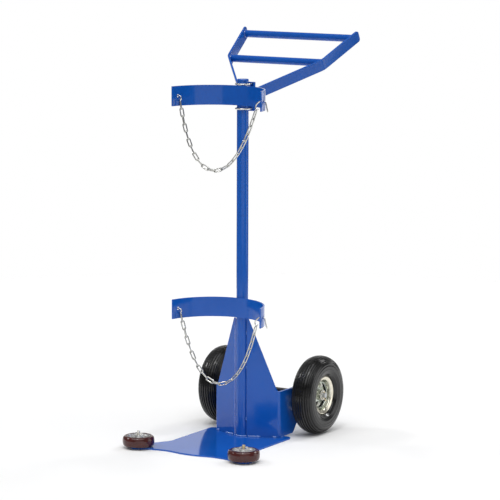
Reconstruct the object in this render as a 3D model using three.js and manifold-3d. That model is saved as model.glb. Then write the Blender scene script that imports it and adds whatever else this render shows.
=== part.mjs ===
// Cylinder hand truck with two chained cradle bands, two pneumatic wheels and
// two horizontal corner rollers. Millimetres, +Z up, -Y is the front of the truck.
// Origin: on the floor under the mast's axis.
import * as THREE from 'three';
import { mergeVertices } from 'three/addons/utils/BufferGeometryUtils.js';
import Module from 'manifold-3d';

const wasm = await Module();
wasm.setup();

// ---- driving dimensions (mm) ----
const GAP = 0.3;                                     // between welded or seated neighbours
const PLATE = { t: 5, halfW: 152, rear: 62, rearR: 16, flareY: -190 };
const MAST = { r: 19.05, bore: 16.5, top: 1158, capTop: 1164.5 };
const BAND = { r: 163.1, t: 5.1, yc: -187.5, h: 63.5, half: 81.3, holeAt: 72.5, holeR: 5.5 };
const BAND_Z = { lower: 428.4, upper: 1112.8 };
const SIDE = { t: 6, x: 23.4, y: -9.4, angle: 24.2, outX: 121.5, bendR: 12, topX: 25.7, top: 391.5,
  flangeX: 111.6, flangeTop: 155.5 };
const AXLE = { r: 8, y: 183, z: 127.5, end: 207.5, pinAt: 203.2 };
const WHEEL = { x: 177.6, r: 127.5, halfW: 38, hubHalf: 20, bore: 8.1 };
const ROLLER = { x: 195.7, y: -312.9, r: 50.8, z0: 8.5, z1: 40.5, earR: 27, pinR: 4.75, pinTop: 56 };
const HANDLE = { y: 24, z: 1110.7, tilt: 26.77, w: 38, t: 6.35, x0: 17.9, xBend: 172.8, sBend: 205.8,
  xEnd: 209, sEnd: 393, tubeR: 12.1, tubeBore: 10.1, tubeS: [215.4, 373.4] };
const BRACKET = { halfW: 31.75, t: 6, z0: 1061, z1: 1154 };
const UBOLT = { rod: 3.1, legX: 22.5, tail: 37, z: { upper: 1148, lower: 1069.5 } };
const CHAIN = { wide: 7, thick: 2.2, links: 21, c: 67.6, x0: -5, drop: 231, left: 16, right: 33.5 };
const HOOK_R = 2.1;

const group = new THREE.Group();
const rad = THREE.MathUtils.degToRad;

// colour, roughness and metalness of each finish
const FINISH = {
  blue: [0x1c4fae, 0.18, 0.0],
  dark: [0x15233f, 0.35, 0.0],
  zinc: [0xc9c7bd, 0.3, 0.9],
  rim: [0xcfccbd, 0.35, 0.85],
  rubber: [0x202124, 0.7, 0.0],
  tread: [0x6a3a33, 0.4, 0.0],
};
function add(name, geometry, finish, parent = group) {
  const g = geometry.index ? geometry.toNonIndexed() : geometry;
  g.deleteAttribute('uv');
  g.deleteAttribute('normal');
  const merged = mergeVertices(g, 1e-4);
  merged.computeVertexNormals();
  const [color, roughness, metalness] = FINISH[finish];
  const mesh = new THREE.Mesh(merged, new THREE.MeshStandardMaterial({ color, roughness, metalness }));
  mesh.name = name;
  parent.add(mesh);
  return mesh;
}
function placed(x, y, z, parent = group) {
  const g = new THREE.Group();
  g.position.set(x, y, z);
  parent.add(g);
  return g;
}

// ---- solids for joining and cutting ----
function solid(geometry) {
  let g = geometry.clone();
  for (const key of Object.keys(g.attributes)) if (key !== 'position') g.deleteAttribute(key);
  g = mergeVertices(g, 1e-4);
  return new wasm.Manifold(new wasm.Mesh({
    numProp: 3, vertProperties: new Float32Array(g.attributes.position.array),
    triVerts: new Uint32Array(g.index.array),
  }));
}
function toGeometry(body) {
  const m = body.getMesh();
  const g = new THREE.BufferGeometry();
  g.setAttribute('position', new THREE.BufferAttribute(new Float32Array(m.vertProperties), 3));
  g.setIndex(new THREE.BufferAttribute(new Uint32Array(m.triVerts), 1));
  return g;
}
const at = (g, x, y, z) => g.translate(x, y, z);
const box = (x0, x1, y0, y1, z0, z1) =>
  at(new THREE.BoxGeometry(x1 - x0, y1 - y0, z1 - z0), (x0 + x1) / 2, (y0 + y1) / 2, (z0 + z1) / 2);
const extrude = (shape, depth, curveSegments = 12) =>
  new THREE.ExtrudeGeometry(shape, { depth, bevelEnabled: false, curveSegments });
// a shape drawn in (y, z) and given a thickness along +X
const extrudeX = (shape, x0, x1, seg) => at(extrude(shape, x1 - x0, seg).applyMatrix4(
  new THREE.Matrix4().set(0, 0, 1, 0, 1, 0, 0, 0, 0, 1, 0, 0, 0, 0, 0, 1)), x0, 0, 0);
// a shape drawn in (x, z) and given a thickness along -Y
const extrudeY = (shape, y0, y1, seg) => at(extrude(shape, y1 - y0, seg).applyMatrix4(
  new THREE.Matrix4().set(1, 0, 0, 0, 0, 0, -1, 0, 0, 1, 0, 0, 0, 0, 0, 1)), 0, y1, 0);
const rod = (r, length, seg) => new THREE.CylinderGeometry(r, r, length, seg);
const rodX = (r, x0, x1, seg = 24) => at(rod(r, x1 - x0, seg).rotateZ(Math.PI / 2), (x0 + x1) / 2, 0, 0);
const rodY = (r, y0, y1, seg = 16) => at(rod(r, y1 - y0, seg), 0, (y0 + y1) / 2, 0);
const rodZ = (r, z0, z1, seg = 24) => at(rod(r, z1 - z0, seg).rotateX(Math.PI / 2), 0, 0, (z0 + z1) / 2);
// a closed profile [radius, height] turned about +Z
const turnZ = (profile, seg = 24) => new THREE.LatheGeometry(
  profile.map(([r, h]) => new THREE.Vector2(r, h)), seg).rotateX(Math.PI / 2);
// the same about +X: the profile's height runs along X
const turnX = (profile, seg = 24) => new THREE.LatheGeometry(
  profile.map(([r, h]) => new THREE.Vector2(r, h)), seg).rotateZ(-Math.PI / 2);
const tubeProfile = (r0, r1, h0, h1) => [[r0, h0], [r1, h0], [r1, h1], [r0, h1], [r0, h0]];
// round wire along a smooth curve through the given points
function wire(points, r, steps, seg = 10) {
  const path = new THREE.CatmullRomCurve3(points.map((p) => new THREE.Vector3(...p)), false, 'centripetal');
  const section = new THREE.Shape();
  for (let i = 0; i < seg; i += 1) {
    const a = (i / seg) * 2 * Math.PI;
    section[i ? 'lineTo' : 'moveTo'](r * Math.cos(a), r * Math.sin(a));
  }
  return new THREE.ExtrudeGeometry(section, { steps, extrudePath: path, bevelEnabled: false });
}
const polygon = (points) => new THREE.Shape(points.map(([x, y]) => new THREE.Vector2(x, y)));
const bothSides = (make) => [[1, 'right'], [-1, 'left']].forEach(([s, side]) => make(s, side));

// ---- base plate: straight sides flaring to two round ears that carry the rollers ----
{
  const { x: ex, y: ey, earR } = ROLLER;
  const toEar = Math.hypot(ex - PLATE.halfW, PLATE.flareY - ey);
  const flare = Math.atan2(ex - PLATE.halfW, PLATE.flareY - ey) + Math.asin(earR / toEar);
  const nose = [[180, -334], [168, -327], [150, -320], [125, -315.5], [92, -312.5], [60, -316], [32, -322]];
  const s = new THREE.Shape();
  s.moveTo(PLATE.halfW - PLATE.rearR, PLATE.rear);
  s.lineTo(-PLATE.halfW + PLATE.rearR, PLATE.rear);
  s.absarc(-PLATE.halfW + PLATE.rearR, PLATE.rear - PLATE.rearR, PLATE.rearR, Math.PI / 2, Math.PI, false);
  s.lineTo(-PLATE.halfW, PLATE.flareY + 12);
  s.quadraticCurveTo(-PLATE.halfW, PLATE.flareY, -PLATE.halfW - 12 * Math.sin(flare),
    PLATE.flareY - 12 * Math.cos(flare));
  s.absarc(-ex, ey, earR, Math.PI - flare, 1.5 * Math.PI, false);
  s.splineThru([...nose.map(([x, y]) => new THREE.Vector2(-x, y)), new THREE.Vector2(0, -324),
    ...nose.map(([x, y]) => new THREE.Vector2(x, y)).reverse(), new THREE.Vector2(ex, ey - earR)]);
  s.absarc(ex, ey, earR, -Math.PI / 2, flare, false);
  s.lineTo(PLATE.halfW + 12 * Math.sin(flare), PLATE.flareY - 12 * Math.cos(flare));
  s.quadraticCurveTo(PLATE.halfW, PLATE.flareY, PLATE.halfW, PLATE.flareY + 12);
  s.lineTo(PLATE.halfW, PLATE.rear - PLATE.rearR);
  s.absarc(PLATE.halfW - PLATE.rearR, PLATE.rear - PLATE.rearR, PLATE.rearR, 0, Math.PI / 2, false);
  let plate = solid(extrude(s, PLATE.t, 4));
  bothSides((k) => {
    plate = plate.subtract(solid(at(rodZ(ROLLER.pinR + GAP, -1, PLATE.t + 1, 32), k * ex, ey, 0)));
  });
  add('base_plate', toGeometry(plate), 'blue');
}

// ---- mast and its end plug ----
add('mast_tube', turnZ(tubeProfile(MAST.bore, MAST.r, PLATE.t + GAP, MAST.top), 32), 'blue');
add('mast_cap', turnZ([[0, MAST.top - 16], [MAST.bore - GAP, MAST.top - 16],
  [MAST.bore - GAP, MAST.top + GAP], [MAST.r, MAST.top + GAP], [MAST.r, MAST.capTop - 2.5],
  [MAST.r - 3, MAST.capTop], [0, MAST.capTop]], 32), 'blue');

// ---- folded side plates: swept wing in front, flange with the axle hole behind ----
function sidePlate() {
  const a = rad(SIDE.angle);
  const dir = [Math.cos(a), Math.sin(a)];
  const cut = (offset, rBend) => {                    // wing line, bend arc and flange line at an offset
    const start = [SIDE.x - offset * Math.sin(a), SIDE.y + offset * Math.cos(a)];
    const cx = SIDE.outX - SIDE.bendR;                // bend centre: SIDE.bendR inside both outer faces
    const reach = (cx - (SIDE.x - SIDE.bendR * Math.sin(a))) / dir[0];
    const cy = SIDE.y + SIDE.bendR * Math.cos(a) + reach * dir[1];
    const pts = [start];
    for (let i = 0; i <= 6; i += 1) {
      const t = a - Math.PI / 2 + (i / 6) * (Math.PI / 2 - a);
      pts.push([cx + rBend * Math.cos(t), cy + rBend * Math.sin(t)]);
    }
    pts.push([SIDE.outX - offset, 240]);
    return pts;
  };
  const outer = cut(0, SIDE.bendR);
  const inner = cut(SIDE.t, SIDE.bendR - SIDE.t);
  const strip = solid(extrude(polygon([...outer, ...inner.reverse()]), SIDE.top - PLATE.t - GAP)
    .translate(0, 0, PLATE.t + GAP));
  // front outline: the wing's edge slants down to the flange top and meets it in a small fillet
  const slant = (SIDE.flangeX - SIDE.topX) / (SIDE.top - SIDE.flangeTop);
  const front = new THREE.Shape();
  front.moveTo(15, 0);
  front.lineTo(140, 0);
  front.lineTo(140, SIDE.flangeTop);
  front.lineTo(118.5, SIDE.flangeTop);
  front.quadraticCurveTo(SIDE.flangeX, SIDE.flangeTop, SIDE.flangeX - 7 * slant, SIDE.flangeTop + 7);
  front.lineTo(SIDE.topX, SIDE.top + 1);
  front.lineTo(15, SIDE.top + 1);
  // side outline: flange with a round end about the axle and a rounded lower corner
  const R = SIDE.flangeTop - AXLE.z;
  const low = rad(-38.5);
  const side = new THREE.Shape();
  side.moveTo(-60, 0);
  side.lineTo(104, 0);
  side.quadraticCurveTo(119, 2, 130.5, 16.8);
  side.absarc(AXLE.y, AXLE.z, R, low, Math.PI / 2, false);
  side.lineTo(60, SIDE.flangeTop);
  side.lineTo(60, SIDE.top + 1);
  side.lineTo(-60, SIDE.top + 1);
  return strip.intersect(solid(extrudeY(front, -60, 260, 6)))
    .intersect(solid(extrudeX(side, 0, 140, 14)))
    .subtract(solid(at(rodX(AXLE.r + 0.2, 100, 130), 0, AXLE.y, AXLE.z)));
}
bothSides((k, side) => {
  const body = k > 0 ? sidePlate() : sidePlate().mirror([1, 0, 0]);
  add(`side_plate_${side}`, toGeometry(body), 'blue');
});

// ---- cradle bands: flat bar rolled to an arc, welded to the mast's front, a chain hole near each end ----
for (const [level, z] of Object.entries(BAND_Z)) {
  const a0 = Math.PI / 2 - rad(BAND.half);
  const s = new THREE.Shape();
  s.absarc(0, BAND.yc, BAND.r + BAND.t, a0, Math.PI - a0, false);
  s.absarc(0, BAND.yc, BAND.r, Math.PI - a0, a0, true);
  let band = solid(at(extrude(s, BAND.h, 16), 0, 0, -BAND.h / 2));
  bothSides((k) => {
    const hole = rodY(BAND.holeR, BAND.r - 6, BAND.r + 12).rotateZ(-k * rad(BAND.holeAt));
    band = band.subtract(solid(at(hole, 0, BAND.yc, 0)));
  });
  add(`${level}_band`, toGeometry(band), 'blue').position.z = z;
}

// ---- handle bracket plate behind the mast, held by two U-bolts ----
const plateY = [MAST.r + GAP, MAST.r + GAP + BRACKET.t];
{
  let plate = solid(box(-BRACKET.halfW, BRACKET.halfW, ...plateY, BRACKET.z0, BRACKET.z1));
  for (const z of Object.values(UBOLT.z)) {
    bothSides((k) => {
      plate = plate.subtract(solid(at(rodY(UBOLT.rod + 0.4, 0, 60), k * UBOLT.legX, 0, z)));
    });
  }
  add('handle_bracket', toGeometry(plate), 'blue');
}
for (const [level, z] of Object.entries(UBOLT.z)) {
  const clamp = placed(0, 0, z);
  const s = new THREE.Shape();                        // plan of the U at half thickness, as a path
  const path = new THREE.CurvePath();
  const v = (x, y) => new THREE.Vector3(x, y, 0);
  path.add(new THREE.LineCurve3(v(UBOLT.legX, UBOLT.tail), v(UBOLT.legX, 0)));
  const arc = [];
  for (let i = 0; i <= 16; i += 1) {
    arc.push(v(UBOLT.legX * Math.cos((i / 16) * Math.PI), -UBOLT.legX * Math.sin((i / 16) * Math.PI)));
  }
  path.add(new THREE.CatmullRomCurve3(arc));
  path.add(new THREE.LineCurve3(v(-UBOLT.legX, 0), v(-UBOLT.legX, UBOLT.tail)));
  s.absarc(0, 0, UBOLT.rod, 0, 2 * Math.PI, false);
  add(`${level}_u_bolt`, new THREE.ExtrudeGeometry(s, { steps: 22, curveSegments: 4, extrudePath: path,
    bevelEnabled: false }), 'zinc', clamp);
  bothSides((k, side) => {
    const nut = solid(rodY(5.8, plateY[1] + GAP, plateY[1] + GAP + 5, 6))
      .subtract(solid(rodY(UBOLT.rod + GAP, 0, 60)));
    add(`${level}_u_bolt_nut_${side}`, toGeometry(nut), 'zinc', clamp).position.x = k * UBOLT.legX;
  });
}

// ---- handle: two bent flat bars on edge and two round crossbars, in one tilted plane ----
// handle group: x across, y up the slope, z square to the slope
const handle = placed(0, HANDLE.y, HANDLE.z);
handle.rotation.x = rad(HANDLE.tilt);
handle.updateMatrix();
const splay1 = Math.atan2(HANDLE.xBend - HANDLE.x0, HANDLE.sBend);
const splay2 = Math.atan2(HANDLE.xEnd - HANDLE.xBend, HANDLE.sEnd - HANDLE.sBend);
// the bar's face at a distance out from its inner face, between two stations along the slope
function barFace(out, start, end) {
  const [d1, d2] = [splay1, splay2].map((a) => [Math.sin(a), Math.cos(a)]);
  const k = out / (1 + d1[0] * d2[0] + d1[1] * d2[1]);
  const corner = [HANDLE.xBend + k * (d1[1] + d2[1]), HANDLE.sBend - k * (d1[0] + d2[0])];
  const before = [corner[0] - 10 * d1[0], corner[1] - 10 * d1[1]];
  const after = [corner[0] + 10 * d2[0], corner[1] + 10 * d2[1]];
  const along = (s, a) => [corner[0] + (s - corner[1]) * Math.tan(a), s];
  return [along(start, splay1), before, [0, 1].map((i) => (before[i] + 2 * corner[i] + after[i]) / 4), after,
    along(end, splay2)];
}
// the space behind the bracket plate, as the handle group sees it
const behindBracket = () => solid(box(-300, 300, plateY[1] + GAP, 500, 900, 1500))
  .transform(handle.matrix.clone().invert().elements);
bothSides((k, side) => {
  const plan = polygon([...barFace(HANDLE.t, -60, HANDLE.sEnd), ...barFace(0, -60, HANDLE.sEnd).reverse()]);
  const end = new THREE.Shape();                      // (s, n) outline with round corners at the free end
  const h = HANDLE.w / 2;
  end.moveTo(-70, -h);
  end.lineTo(HANDLE.sEnd - 9, -h);
  end.absarc(HANDLE.sEnd - 9, -h + 9, 9, -Math.PI / 2, 0, false);
  end.absarc(HANDLE.sEnd - 9, h - 9, 9, 0, Math.PI / 2, false);
  end.lineTo(-70, h);
  let bar = solid(at(extrude(plan, HANDLE.w), 0, 0, -h)).intersect(solid(extrudeX(end, 0, 260, 6)));
  bar = bar.intersect(behindBracket());
  add(`handle_bar_${side}`, toGeometry(k > 0 ? bar : bar.mirror([1, 0, 0])), 'blue', handle);
});
HANDLE.tubeS.forEach((s, i) => {
  const inside = barFace(-GAP, 60, HANDLE.sEnd);
  const between = polygon([...inside, ...inside.map(([x, y]) => [-x, y]).reverse()]);
  const tube = solid(at(rodX(HANDLE.tubeR, -240, 240, 32), 0, s, 0))
    .intersect(solid(at(extrude(between, 60), 0, 0, -30)))
    .subtract(solid(at(rodX(HANDLE.tubeBore, -260, 260, 32), 0, s, 0)));
  add(i ? 'grip_crossbar' : 'lower_crossbar', toGeometry(tube), 'blue', handle);
});

// ---- axle and wheels ----
const axleLine = placed(0, AXLE.y, AXLE.z);
add('axle', toGeometry(solid(rodX(AXLE.r, -AXLE.end, AXLE.end))
  .subtract(solid(at(rodZ(2.1, -20, 20, 16), AXLE.pinAt, 0, 0)))
  .subtract(solid(at(rodZ(2.1, -20, 20, 16), -AXLE.pinAt, 0, 0)))), 'dark', axleLine);

// tyre section, [radius, across]: ribbed crown, round shoulders, beads at the rim
const TYRE = [[52.5, -18.8], [61.6, -21.6], [64.6, -27], [77, -35.4], [92, -38], [108, -35.6], [119, -28],
  [125, -16], [127.5, -5]];
const RIM = [[17.6, 1.2], [42, 1.2], [48.6, 6], [51.6, 19.5], [61, 22.4], [60.4, 24.4], [49.8, 21.6],
  [46.2, 7.6], [40, 3.4], [17.6, 3.4]];
const WINDOW = { r0: 35.5, r1: 44.5, half: 28, first: 28 };       // four curved slots in each pressed disc
function rimWindow(turn) {
  const s = new THREE.Shape();
  const [from, to] = [turn - WINDOW.half, turn + WINDOW.half].map(rad);
  s.absarc(0, 0, WINDOW.r1, from, to, false);
  s.absarc(0, 0, WINDOW.r0, to, from, true);
  return solid(extrudeX(s, -2, 16, 5));
}
bothSides((k, side) => {
  const wheel = placed(k * WHEEL.x, 0, 0, axleLine);
  const crown = [...TYRE, ...TYRE.map(([r, h]) => [r, -h]).reverse()];
  const inside = [[52.5, 12], [65, 20], [88, 32.6], [108, 29], [116, 13]];
  const lining = [...inside, ...inside.map(([r, h]) => [r, -h]).reverse()];
  add(`tyre_${side}`, turnX([...crown, ...lining, crown[0]]), 'rubber', wheel);
  const outerRim = () => {
    let rim = solid(turnX([...RIM, RIM[0]]));
    for (let i = 0; i < 4; i += 1) rim = rim.subtract(rimWindow(WINDOW.first + 90 * i));
    return rim;
  };
  add(`rim_outer_${side}`, toGeometry(k > 0 ? outerRim() : outerRim().mirror([1, 0, 0])), 'rim', wheel);
  add(`rim_inner_${side}`, toGeometry(k < 0 ? outerRim() : outerRim().mirror([1, 0, 0])), 'rim', wheel);
  add(`hub_${side}`, turnX([[15, -WHEEL.hubHalf], [17.2, -WHEEL.hubHalf], [17.2, WHEEL.hubHalf],
    [15, WHEEL.hubHalf], [15, 10], [12, 10], [12, -10], [15, -10], [15, -WHEEL.hubHalf]]), 'zinc', wheel);
  for (const [part, x] of [['outer', k * 15.1], ['inner', -k * 15.1]]) {
    const ring = turnX(tubeProfile(WHEEL.bore, 14.8, -4.8, 4.8));
    add(`bearing_${part}_${side}`, ring, 'zinc', wheel).position.x = x;
  }
  const stem = turnZ([[0, 34], [2.6, 34], [2.6, 40], [3.9, 41], [3.9, 46.2], [0, 46.2]], 16);
  add(`valve_${side}`, stem.rotateX(rad(120)), 'rubber', wheel).position.x = k * 16;
  const sleeve = (r, x0, x1) => turnX(
    tubeProfile(AXLE.r + 0.2, r, ...(k > 0 ? [x0, x1] : [-x1, -x0])));
  const seat = SIDE.outX + 0.4;
  const hubIn = WHEEL.x - WHEEL.hubHalf - 0.4;
  const hubOut = WHEEL.x + WHEEL.hubHalf + 0.4;
  add(`axle_spacer_${side}`, sleeve(12.5, seat, hubIn), 'zinc', axleLine);
  add(`axle_washer_${side}`, sleeve(14, hubOut, hubOut + 2.2), 'zinc', axleLine);
  // split pin through the axle end: head above, legs bent open below
  const px = k * AXLE.pinAt;
  const legs = [[px, 0, 13], [px, 0, 4], [px, 0, -10], [px + k * 1.5, 1, -15], [px + k * 4, 4, -19]];
  add(`axle_split_pin_${side}`, wire(legs, 1.7, 8, 6), 'zinc', axleLine);
});

// ---- corner rollers lying flat on the base plate's ears ----
bothSides((k, side) => {
  const corner = placed(k * ROLLER.x, ROLLER.y, 0);
  const { r, z0, z1, pinR } = ROLLER;
  add(`roller_tread_${side}`, turnZ([[38.6, z0 + 1], [44, z0], [47.5, z0 + 2], [49.8, z0 + 7], [r, z0 + 13],
    [r, z1 - 13], [50, z1 - 8], [48, z1 - 3], [44.5, z1 - 0.6], [40.5, z1], [38.6, z1 - 1], [38.6, z0 + 1]]),
  'tread', corner);
  add(`roller_hub_${side}`, turnZ([[pinR + 0.06, z0], [13, z0], [14, z0 + 9], [30, z0 + 9],
    [34.5, z0 + 1.5], [38.3, z0 + 1.5], [38.3, z1 - 1.2], [35, z1 - 0.4], [31, z1 - 7], [15, z1 - 8],
    [13, z1 + 1.5], [pinR + 0.06, z1 + 1.5], [pinR + 0.06, z0]]), 'zinc', corner);
  const spacer = tubeProfile(pinR + 0.2, 13, PLATE.t + GAP, z0 - GAP);
  add(`roller_spacer_${side}`, turnZ(spacer, 20), 'zinc', corner);
  add(`roller_washer_${side}`, turnZ(tubeProfile(pinR + 0.2, 11, z1 + 2, z1 + 4), 20), 'zinc', corner);
  const pin = solid(rodZ(pinR, 0.2, ROLLER.pinTop))
    .subtract(solid(rodX(1.8, -20, 20, 16).translate(0, 0, z1 + 8)));
  add(`roller_pin_${side}`, toGeometry(pin), 'zinc', corner);
  add(`roller_split_pin_${side}`, wire([[-11, 0, z1 + 8], [-4, 0, z1 + 8], [5, 0, z1 + 8],
    [9, 1.2, z1 + 8.4], [12, 3.5, z1 + 9.4]], 1.45, 8, 6), 'zinc', corner);
});

// ---- retaining chains, hanging from a hook through each band hole ----
// each chain and its hooks swing together about the line through the band holes, the chain group's X axis;
// LEAN is how far a loop leans sideways at the bottom
const LEAN = { upper: -18, lower: 1 };
function chainPoint(x, lean) {
  const rise = CHAIN.c * (Math.cosh((x - CHAIN.x0) / CHAIN.c) - 1);
  return new THREE.Vector3(x + lean * (1 - rise / CHAIN.drop), 0, rise - CHAIN.drop);
}
function chainLoft(level) {
  const reach = (down) => CHAIN.c * Math.acosh(1 + (CHAIN.drop - down) / CHAIN.c);
  const [u0, u1] = [-reach(CHAIN.left), reach(CHAIN.right)].map((u) => Math.sinh(u / CHAIN.c));
  const rings = [];
  const SEG = 6;
  for (let i = 0; i < CHAIN.links; i += 1) {
    const turn = (i % 2 ? 1 : -1) * Math.PI / 4;
    rings.push([i / CHAIN.links, 3.4, 3.4, turn]);
    for (const f of [0.22, 0.78]) rings.push([(i + f) / CHAIN.links, CHAIN.wide, CHAIN.thick, turn]);
  }
  rings.push([1, 3.4, 3.4, 0]);
  const pos = [];
  const param = (f) => CHAIN.x0 + CHAIN.c * Math.asinh(u0 + f * (u1 - u0));
  for (const [f, w, t, turn] of rings) {
    const p = chainPoint(param(f), LEAN[level]);
    const ahead = chainPoint(param(f) + 0.5, LEAN[level]).sub(p).normalize();
    const side = new THREE.Vector3(0, 1, 0);
    const up = new THREE.Vector3().crossVectors(ahead, side);
    for (let i = 0; i < SEG; i += 1) {
      const a = (i / SEG) * 2 * Math.PI;
      const [lx, ly] = [w * Math.cos(a - turn), t * Math.sin(a - turn)];
      const [rx, ry] = [lx * Math.cos(turn) - ly * Math.sin(turn), lx * Math.sin(turn) + ly * Math.cos(turn)];
      pos.push(p.x + up.x * ry, rx, p.z + up.z * ry);
    }
  }
  const n = rings.length;
  const index = [];
  for (let j = 0; j < n - 1; j += 1) {
    for (let i = 0; i < SEG; i += 1) {
      const [a, b] = [j * SEG + i, j * SEG + ((i + 1) % SEG)];
      index.push(a, b, a + SEG, b, b + SEG, a + SEG);
    }
  }
  for (let i = 1; i < SEG - 1; i += 1) {
    index.push(0, i + 1, i);
    index.push((n - 1) * SEG, (n - 1) * SEG + i, (n - 1) * SEG + i + 1);
  }
  const g = new THREE.BufferGeometry();
  g.setAttribute('position', new THREE.Float32BufferAttribute(pos, 3));
  g.setIndex(index);
  return g;
}
// hook wires as [distance out from the mast's plane of symmetry, height above the hole]
const HOOKS = {
  right: [[174.5, -35], [171, -22], [167.6, -9], [163.5, -1.4], [157, 0], [150, -0.4], [141, -5],
    [133.5, -12], [130, -20], [132, -26.5], [137.5, -28.4], [142, -25]],
  left: [[169.5, -15], [167.6, -8], [163.5, -1.2], [157, 0], [151, 0], [146.5, -3], [145.2, -8],
    [147.5, -11.6], [150.4, -10.4]],
};
for (const [level, z] of Object.entries(BAND_Z)) {
  const loop = placed(0, BAND.yc + (BAND.r + BAND.t / 2) * Math.cos(rad(BAND.holeAt)), z);
  add(`${level}_chain`, chainLoft(level), 'zinc', loop);
  bothSides((k, side) => {
    const points = HOOKS[side].map(([x, h]) => [k * x, 0, h]);
    add(`${level}_hook_${side}`, wire(points, HOOK_R, 20, 6), 'zinc', loop);
  });
}

export default group;
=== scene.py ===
"""Looks for the cylinder hand truck: materials, fine wheels, rollers, chains, hooks and weld beads."""
import math
import random

import bmesh
import bpy
from mathutils import Matrix, Vector


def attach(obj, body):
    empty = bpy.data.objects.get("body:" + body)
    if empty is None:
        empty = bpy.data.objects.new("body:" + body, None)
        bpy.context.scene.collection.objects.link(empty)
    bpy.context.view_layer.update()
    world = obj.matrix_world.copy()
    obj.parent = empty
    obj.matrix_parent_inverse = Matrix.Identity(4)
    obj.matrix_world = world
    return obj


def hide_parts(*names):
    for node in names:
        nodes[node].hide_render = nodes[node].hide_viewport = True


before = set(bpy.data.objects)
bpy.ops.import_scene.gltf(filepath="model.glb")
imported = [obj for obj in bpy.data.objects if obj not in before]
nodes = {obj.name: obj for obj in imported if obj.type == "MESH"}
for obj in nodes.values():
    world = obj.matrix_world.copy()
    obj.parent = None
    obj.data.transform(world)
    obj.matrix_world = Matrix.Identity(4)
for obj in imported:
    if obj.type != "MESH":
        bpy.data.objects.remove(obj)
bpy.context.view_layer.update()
scene = bpy.context.scene
MM = 0.001
SIDES = (("right", 1), ("left", -1))
AXLE_Y, AXLE_Z, WHEEL_X = 0.183, 0.1275, 0.1776                # the wheels' centres, at both signs of X

# ---- camera, floor and lights ------------------------------------------------------------------------

CAM_AZIMUTH, CAM_PITCH, CAM_ROLL = 30.996, 8.527, 0.17         # degrees
CAM_PLACE = (4.567888, -7.556164, 1.936946)                    # metres
CAM_LENS = 200.045                                             # mm on a 36 mm sensor
cam_data = bpy.data.cameras.new("camera")
cam_data.sensor_width = 36.0
cam_data.lens = CAM_LENS
cam_data.clip_start, cam_data.clip_end = 0.1, 200.0
camera = bpy.data.objects.new("camera", cam_data)
scene.collection.objects.link(camera)
scene.camera = camera
az, el = math.radians(CAM_AZIMUTH), math.radians(CAM_PITCH)
back = Vector((math.sin(az) * math.cos(el), -math.cos(az) * math.cos(el), math.sin(el)))
camera.rotation_mode = "QUATERNION"
camera.rotation_quaternion = (-back).to_track_quat("-Z", "Y") @ Matrix.Rotation(
    math.radians(CAM_ROLL), 3, "Z").to_quaternion()
camera.location = CAM_PLACE

scene.view_settings.view_transform = "Standard"
scene.view_settings.look = "None"

FLOOR_RADIUS, FLOOR_SOLID = 3.4, 2.7           # the floor is a disc that fades out between these radii
ROOM, BACKGROUND = 0.22, 1.0                   # brightness of the room on the object, and of the backdrop

world = bpy.data.worlds.new("studio")
scene.world = world
world.use_nodes = True
sky = world.node_tree.nodes["Background"]
sky.inputs["Color"].default_value = (1.0, 1.0, 1.0, 1.0)
path = world.node_tree.nodes.new("ShaderNodeLightPath")
level = world.node_tree.nodes.new("ShaderNodeMapRange")
level.inputs["To Min"].default_value, level.inputs["To Max"].default_value = ROOM, BACKGROUND
world.node_tree.links.new(path.outputs["Is Camera Ray"], level.inputs["Value"])
world.node_tree.links.new(level.outputs["Result"], sky.inputs["Strength"])


def soft_sun(name, towards, strength, spread):
    """A soft box far away: light that travels towards a direction, from a disc spread degrees wide."""
    data = bpy.data.lights.new(name, "SUN")
    data.energy, data.angle = strength, math.radians(spread)
    light = bpy.data.objects.new(name, data)
    scene.collection.objects.link(light)
    light.rotation_mode = "QUATERNION"
    light.rotation_quaternion = Vector(towards).to_track_quat("-Z", "Y")


def panel(name, heading, distance, low, high, width, radiance):
    """An upright soft box that faces the object; heading is in degrees from +X towards +Y."""
    data = bpy.data.lights.new(name, "AREA")
    data.shape = "RECTANGLE"
    data.size, data.size_y = width, high - low
    data.energy = radiance * math.pi * width * (high - low)
    light = bpy.data.objects.new(name, data)
    scene.collection.objects.link(light)
    h = math.radians(heading)
    light.location = (distance * math.cos(h), distance * math.sin(h), (low + high) / 2)
    light.rotation_mode = "QUATERNION"
    light.rotation_quaternion = Vector((-math.cos(h), -math.sin(h), 0)).to_track_quat("-Z", "Y")
    light.visible_camera = False


soft_sun("overhead_soft_box", (-0.12, 0.3, -1.0), 1.85, 70.0)
soft_sun("rear_right_soft_box", (-0.27, -0.72, -0.64), 0.5, 12.0)
soft_sun("left_soft_box", (0.73, 0.22, -0.64), 0.42, 9.0)
soft_sun("top_spot", (-0.1, 0.35, -1.0), 0.3, 6.0)
panel("front_panel", -52.0, 4.2, 0.0, 1.5, 5.0, 0.65)
panel("back_panel", 118.0, 5.0, 0.0, 3.2, 4.3, 0.62)
panel("right_panel", 29.0, 3.6, 0.0, 1.8, 1.7, 1.2)
panel("side_panel", 77.0, 4.0, 0.6, 1.15, 1.5, 1.5)


# ---- node helpers ------------------------------------------------------------------------------------

NOISE_ROUGHNESS = 0.55
MIX_A, MIX_B, MIX_RESULT = 6, 7, 2                             # the colour sockets of a Mix node


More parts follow.
